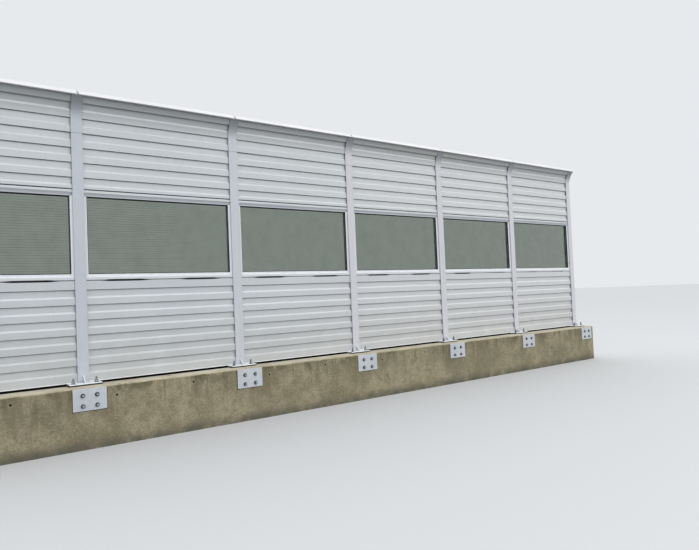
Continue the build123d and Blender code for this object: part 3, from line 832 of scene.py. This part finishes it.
# The window frames
# Four mitred rails of one moulding, powder coated white: a flat outer band, a hollow
# bevel and a bead. Dust lies on the sill, and the upper mitres show as fine dark lines.
# The inner bevel and bead carry a painted highlight; faces that look along the barrier to
# the far end, the undersides and the foot of the top bead take painted shade.
FRAME_FACE = -0.0475
MITRE_HALF = 0.0055
frame_low, frame_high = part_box("window_frame_1")
TOP_BEAD_FOOT = frame_high.z - 0.072
FRAME_ASIDE = frame_low.x - post_places[0]
FRAME_SHADE = (191, 195, 200)
FRAME_LIGHT = (198, 202, 206)
FRAME_RUNOFF = (186, 189, 190)
FRAME_INNER_HIGHLIGHT = (226, 229, 232)
FRAME_SIDE_SHADE = (190, 195, 198)
FRAME_DUST = (187, 188, 186)
FRAME_SOFFIT_SHADE = (165, 170, 176)
FRAME_MITRE = (84, 88, 92)
FRAME_RUB = (188, 190, 192)
FRAME_PALE_AS_LIT = (188, 190, 192)

frame_coat, tree, surface = finish_called("frame_coat")
where, along, across, up = place_of(tree)
facing = normal_of(tree)
coat = lay(tree, FRAME_SHADE, FRAME_LIGHT, use(tree, blotches, Scale=2.2, Low=0.3, High=0.75))
coat = lay(tree, coat, FRAME_RUNOFF, use(tree, rain_streaks, Width=34.0, Low=0.5, High=0.8), amount=0.28)
# A painted highlight on the inner bevel and bead.
inner = ramp(tree, across, FRAME_FACE + 0.001, FRAME_FACE + 0.01)
coat = lay(tree, coat, FRAME_INNER_HIGHLIGHT, inner, amount=0.8)
# Painted shade on faces that look along the barrier to the far end.
coat = lay(tree, coat, FRAME_SIDE_SHADE, ramp(tree, facing[0], 0.1, 0.5), amount=0.6)
ledge = both(tree, ramp(tree, facing[2], 0.2, 0.38), ramp(tree, facing[2], 0.8, 0.6))
settled = both(tree, use(tree, blotches, Scale=18.0, Low=0.4, High=0.7), 0.35)
coat = lay(tree, coat, FRAME_DUST, ledge, settled)
# Painted shade on the undersides and at the foot of the top bead.
bead_foot = both(tree, inner, ramp(tree, up, TOP_BEAD_FOOT - 0.002, TOP_BEAD_FOOT))
soffit_shade = maths(tree, "MAXIMUM", ramp(tree, facing[2], -0.2, -0.36), bead_foot)
coat = lay(tree, coat, FRAME_SOFFIT_SHADE, soffit_shade, amount=0.85)
from_side = maths(tree, "SUBTRACT", from_nearest(tree, along), FRAME_ASIDE)
from_top = maths(tree, "SUBTRACT", frame_high.z, up)
off_mitre = maths(tree, "ABSOLUTE", maths(tree, "SUBTRACT", from_side, from_top))
coat = lay(tree, coat, FRAME_MITRE, ramp(tree, off_mitre, MITRE_HALF, MITRE_HALF / 2), amount=0.85)
# Painted shade in the recess under the sill, painted pale as lit under the last sills.
gap_top = SILL_GAP_LEVELS[1]
under_sill = both(tree, recess_mask(tree, across), ramp(tree, up, gap_top + 0.0055, gap_top + 0.005))
sill_shade = lay(tree, GAP_SHADE, FRAME_PALE_AS_LIT, closed_look_mask(tree, along))
coat = lay(tree, coat, sill_shade, under_sill)
coat = lay(tree, coat, GAP_SHADOW_LINE, sill_gap_line(tree, along, across, up))
coat = lay(tree, coat, FRAME_RUB, use(tree, edge_wear_and_highlight, Radius=0.0015, Amount=0.5))
powder = noise(tree, where, scale=650.0, detail=2.0)
shape = relief(tree, powder, distance=0.0002, strength=0.6)
feed(tree, surface, Base_Color=coat, Roughness=ramp(tree, powder, 0.3, 0.7, to=(0.3, 0.4)), Normal=shape)
for number in bay_numbers:
    dress(nodes[f"window_frame_{number}"], frame_coat)

# The gaskets
# Black rubber rings in the rebate before and behind each pane, matt, with a greyer
# bloom and a fine grain. Their upright inner sides are grey over part of their depth.
SIDE_GREY_SPAN = (-0.011, 0.006)
RUBBER_BLACK = (22, 23, 26)
RUBBER_BLOOM = (38, 39, 42)
GASKET_SIDE_GREY = (128, 136, 131)

rubber, tree, surface = finish_called("gasket_rubber_black")
where, _, across, _ = place_of(tree)
coat = lay(tree, RUBBER_BLACK, RUBBER_BLOOM, use(tree, blotches, Scale=30.0, Low=0.35, High=0.7))
upright_side = ramp(tree, maths(tree, "ABSOLUTE", normal_of(tree)[0]), 0.6, 0.9)
side_grey_front, side_grey_back = SIDE_GREY_SPAN
side_grey = both(
    tree,
    ramp(tree, across, side_grey_front, side_grey_front + 0.002),
    ramp(tree, across, side_grey_back, side_grey_back - 0.002),
)
coat = lay(tree, coat, GASKET_SIDE_GREY, upright_side, side_grey)
pores = noise(tree, where, scale=900.0, detail=2.0)
shape = relief(tree, pores, distance=0.0003, strength=0.6)
feed(tree, surface, Base_Color=coat, Roughness=ramp(tree, pores, 0.3, 0.7, to=(0.6, 0.78)), Normal=shape)
dress(nodes["pane_gaskets"], rubber)

# The panes and the threads cast in them
# Thick cast acrylic, a little smoky green, with nylon threads every 30 mm that hold a
# broken pane together. The threads were stretched in the casting and are nearly straight.
PANE_SIGHT = 0.077
RIM_LEFT = 0.013
RIM_TOP = 0.009
RIM_FOOT = 0.008
PANE_TINT = (135, 143, 134)
PANE_TINT_DEEP = (127, 135, 126)
PANE_RIM_SHADOW = (16, 17, 16)
THREAD_PITCH = 0.03
THREAD_SIDES = 6
THREAD_RADIUS = 0.0011
THREAD_PARTS = 12
THREAD_WANDER = 0.0006
THREAD_DARK = (40, 44, 42)
THREAD_GREY = (62, 68, 64)

acrylic, tree, surface = finish_called("smoky_acrylic")
where, along, _, up = place_of(tree)
film = use(tree, blotches, Scale=5.0, Low=0.35, High=0.75)
hue = lay(tree, PANE_TINT, PANE_TINT_DEEP, film)
# A painted shadow darkens the pane's rim at its left side, top and foot, beside the rails.
left = FRAME_ASIDE + PANE_SIGHT + RIM_LEFT
top = frame_high.z - PANE_SIGHT - RIM_TOP
foot = frame_low.z + PANE_SIGHT + RIM_FOOT
past_post = maths(tree, "FLOORED_MODULO", along, BAY_LENGTH)
rim = ramp(tree, past_post, left, left - 0.005)
rim = maths(tree, "MAXIMUM", rim, ramp(tree, up, top, top + 0.002))
rim = maths(tree, "MAXIMUM", rim, ramp(tree, up, foot, foot - 0.002))
hue = lay(tree, hue, PANE_RIM_SHADOW, rim, amount=0.9)
shape = relief(tree, noise(tree, where, scale=1.4, detail=1.0), distance=0.004, strength=0.25)
rough = ramp(tree, film, 0.0, 1.0, to=(0.02, 0.06))
feed(tree, surface, Base_Color=hue, Roughness=rough, Normal=shape, IOR=1.49, Transmission_Weight=1.0)
for number in bay_numbers:
    dress(nodes[f"window_pane_{number}"], acrylic)

nylon, tree, surface = finish_called("nylon_thread")
coat = lay(tree, THREAD_DARK, THREAD_GREY, use(tree, blotches, Scale=8.0, Low=0.3, High=0.7))
feed(tree, surface, Base_Color=coat, Roughness=ramp(tree, coat, 0.0, 0.2, to=(0.5, 0.35)))

pane_low, pane_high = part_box("window_pane_1")
thread_length = pane_high.x - pane_low.x - 2 * THREAD_RADIUS
thread = start_rod(THREAD_SIDES, THREAD_RADIUS, thread_length)
for part in range(THREAD_PARTS):
    stray = chance.uniform(-THREAD_WANDER, THREAD_WANDER)
    draw_out((thread_length / THREAD_PARTS, 0, stray if part % 2 else -stray))
settle(thread, SMOOTH_ROUND)
placings = []
for number in bay_numbers:
    pane_low, pane_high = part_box(f"window_pane_{number}")
    centre = (pane_low + pane_high) / 2
    count = int((pane_high.z - pane_low.z) / THREAD_PITCH)
    for index in range(count):
        level = centre.z + (index - (count - 1) / 2) * THREAD_PITCH
        flip = Matrix.Rotation(math.pi * (index % 2), 4, "Z")
        placings.append(at(centre.x, centre.y, level, flip))
repeat(thread, "pane_threads", placings, nylon)

# The capping of the crest
# Folded white sheet over the tips of the posts and crest panels, one length to a bay,
# meeting over each post. The palest of the sheets, with rain marks and slight waves.
CAP_SHADE = (198, 198, 200)
CAP_LIGHT = (206, 205, 207)
CAP_RUNOFF = (195, 195, 194)
CAP_RUB = (190, 192, 194)

cap_coat, tree, surface = finish_called("cap_coat")
where = place_of(tree)[0]
coat = lay(tree, CAP_SHADE, CAP_LIGHT, use(tree, blotches, Scale=1.5, Low=0.35, High=0.75))
coat = lay(tree, coat, CAP_RUNOFF, use(tree, rain_streaks, Width=18.0, Low=0.5, High=0.78), amount=0.3)
coat = lay(tree, coat, CAP_RUB, use(tree, edge_wear_and_highlight, Radius=0.0015, Amount=0.6))
shape = relief(tree, noise(tree, where, scale=4.0, detail=1.5), distance=0.006, strength=0.4)
peel = noise(tree, where, scale=500.0, detail=2.0)
shape = relief(tree, peel, distance=0.0002, strength=0.5, under=shape)
feed(tree, surface, Base_Color=coat, Roughness=ramp(tree, peel, 0.3, 0.7, to=(0.36, 0.46)), Normal=shape)
dress(nodes["crest_cap"], cap_coat)

# The stage
# A plain pale floor and an even sky, brighter above than the floor throws back, as on an
# overcast day; one broad soft lamp in front gives it a direction.
FLOOR_SPAN = 400.0
FLOOR_SEEN = (0.46, 0.465, 0.47, 1.0)
FLOOR_BOUNCE = (0.09, 0.09, 0.088, 1.0)
SKY_SEEN = (0.80, 0.82, 0.84, 1.0)
SKY_TINT = (0.97, 0.985, 1.0, 1.0)
SKY_LIGHT = 1.58
LAMP_PLACE = (6.0, -24.0, 17.0)
LAMP_AIM = (0.0, 0.0, 2.0)
LAMP_SIZE = 15.0
LAMP_POWER = 2400.0


def seen_mask(tree):
    """High where the eye looks at the surface, straight, in a gloss or through glass."""
    path = add(tree, "ShaderNodeLightPath").outputs
    seen = maths(tree, "MAXIMUM", path["Is Camera Ray"], path["Is Glossy Ray"])
    return maths(tree, "MAXIMUM", seen, path["Is Transmission Ray"])


def seen_or_not(tree, seen, unseen, kind):
    """Ends a tree with one shader for the eye and another for the light it gives."""
    either = {0: seen_mask(tree), 1: unseen.outputs[0], 2: seen.outputs[0]}
    add(tree, kind, {0: add(tree, "ShaderNodeMixShader", either).outputs[0]})


bpy.ops.object.select_all(action="DESELECT")
bpy.ops.mesh.primitive_plane_add(size=FLOOR_SPAN, location=(0, 0, 0))
floor = bpy.context.object
floor.name = "floor"
floor_coat = bpy.data.materials.new("pale_floor")
floor_coat.use_nodes = True
tree = floor_coat.node_tree
tree.nodes.clear()
pale = add(tree, "ShaderNodeBsdfDiffuse", {"Color": FLOOR_SEEN})
dim = add(tree, "ShaderNodeBsdfDiffuse", {"Color": FLOOR_BOUNCE})
seen_or_not(tree, pale, dim, "ShaderNodeOutputMaterial")
floor.data.materials.append(floor_coat)

world = bpy.data.worlds.new("even_sky")
bpy.context.scene.world = world
world.use_nodes = True
tree = world.node_tree
tree.nodes.clear()
backdrop = add(tree, "ShaderNodeBackground", {"Color": SKY_SEEN, "Strength": 1.0})
sky = add(tree, "ShaderNodeBackground", {"Color": SKY_TINT, "Strength": SKY_LIGHT})
seen_or_not(tree, backdrop, sky, "ShaderNodeOutputWorld")

bpy.ops.object.light_add(type="AREA", location=LAMP_PLACE)
lamp = bpy.context.object
lamp.name = "soft_lamp"
lamp.data.shape = "DISK"
lamp.data.size = LAMP_SIZE
lamp.data.energy = LAMP_POWER
lamp.visible_glossy = False
lamp.visible_transmission = False
lamp.rotation_euler = (Vector(LAMP_AIM) - Vector(LAMP_PLACE)).to_track_quat("-Z", "Y").to_euler()

# The camera
# At standing eye height in front of the barrier, looking along it from its left. Its place
# and turn were worked out from the lines of the posts and panels in the photograph.
EYE = Vector((-5.7427, -7.4818, 1.613))
YAW = 0.652
PITCH = 0.031
ROLL = -0.0427
FOCAL_PIXELS = 600
FRAME_WIDTH_PIXELS = 699
SENSOR_WIDTH = 36.0
FAR_CLIP = 500.0

ahead = Vector((math.sin(YAW) * math.cos(PITCH), math.cos(YAW) * math.cos(PITCH), math.sin(PITCH)))
level_right = Vector((math.cos(YAW), -math.sin(YAW), 0))
level_up = level_right.cross(ahead)
right = math.cos(ROLL) * level_right + math.sin(ROLL) * level_up
upward = -math.sin(ROLL) * level_right + math.cos(ROLL) * level_up
bpy.ops.object.camera_add(location=EYE)
camera = bpy.context.object
camera.name = "photo_camera"
camera.matrix_world = Matrix.Translation(EYE) @ Matrix((right, upward, -ahead)).transposed().to_4x4()
camera.data.sensor_width = SENSOR_WIDTH
camera.data.sensor_fit = "HORIZONTAL"
camera.data.lens = SENSOR_WIDTH * FOCAL_PIXELS / FRAME_WIDTH_PIXELS
camera.data.clip_end = FAR_CLIP
bpy.context.scene.camera = camera
bpy.context.scene.view_settings.view_transform = "Standard"
